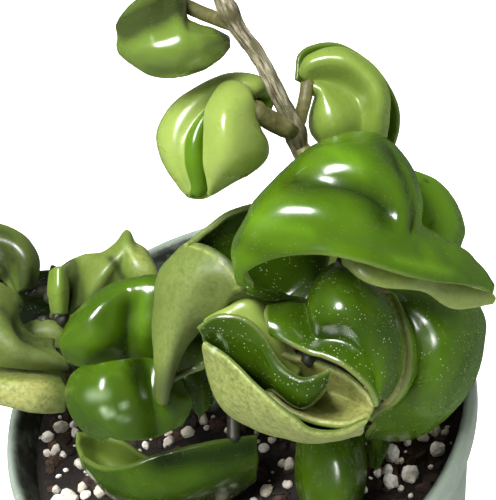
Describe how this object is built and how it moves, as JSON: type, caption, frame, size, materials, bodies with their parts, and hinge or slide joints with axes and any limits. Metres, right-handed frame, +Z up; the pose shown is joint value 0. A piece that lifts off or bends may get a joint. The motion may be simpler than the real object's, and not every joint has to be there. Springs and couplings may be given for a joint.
{
  "type": "potted hoya plant",
  "caption": "Hoya plant with curled, folded, fleshy leaves on a woody vine, standing in a round plastic nursery pot filled with bark and perlite soil.",
  "frame": {"origin": "centre of the pot's flat base, on the surface it stands on", "axes": "+Z up; +Y away from the side that the plant is seen from; +X to the right"},
  "size_m": [0.1119, 0.105, 0.2257],
  "materials": {
    "pot_plastic": "satin sage-green moulded plastic",
    "soil": "loose dark peat, bark and white perlite",
    "stem_bark": "rough grey-brown bark with short white hairs",
    "leaf": "waxy: glossy dark green above, satin pale green below"
  },
  "bodies": {
    "root": {"leaf_cap": "leaf", "leaf_edge_crest": "leaf", "leaf_edge_dome": "leaf", "leaf_edge_fold": "leaf", "leaf_edge_hollow": "leaf", "leaf_edge_lens": "leaf", "leaf_edge_pale": "leaf", "leaf_edge_roll": "leaf", "leaf_far_centre": "leaf", "leaf_far_left": "leaf", "leaf_far_low": "leaf", "leaf_far_middle": "leaf", "leaf_far_right": "leaf", "leaf_flap": "leaf", "leaf_front_left": "leaf", "leaf_front_lip": "leaf", "leaf_front_right": "leaf", "leaf_left_cup": "leaf", "leaf_left_lower": "leaf", "leaf_left_upper": "leaf", "leaf_low_bulb": "leaf", "leaf_low_front": "leaf", "leaf_low_small": "leaf", "leaf_mid_dark": "leaf", "leaf_right_back": "leaf", "leaf_right_big": "leaf", "leaf_small_mid": "leaf", "leaf_tip_left": "leaf", "leaf_tip_right": "leaf", "leaf_top_hook": "leaf", "leaf_top_left": "leaf", "leaf_top_pouch": "leaf", "pot": "pot_plastic", "soil": "soil", "stem_back": "stem_bark", "stem_front": "stem_bark", "stem_left": "stem_bark", "stem_main": "stem_bark"}
  },
  "joints": []
}
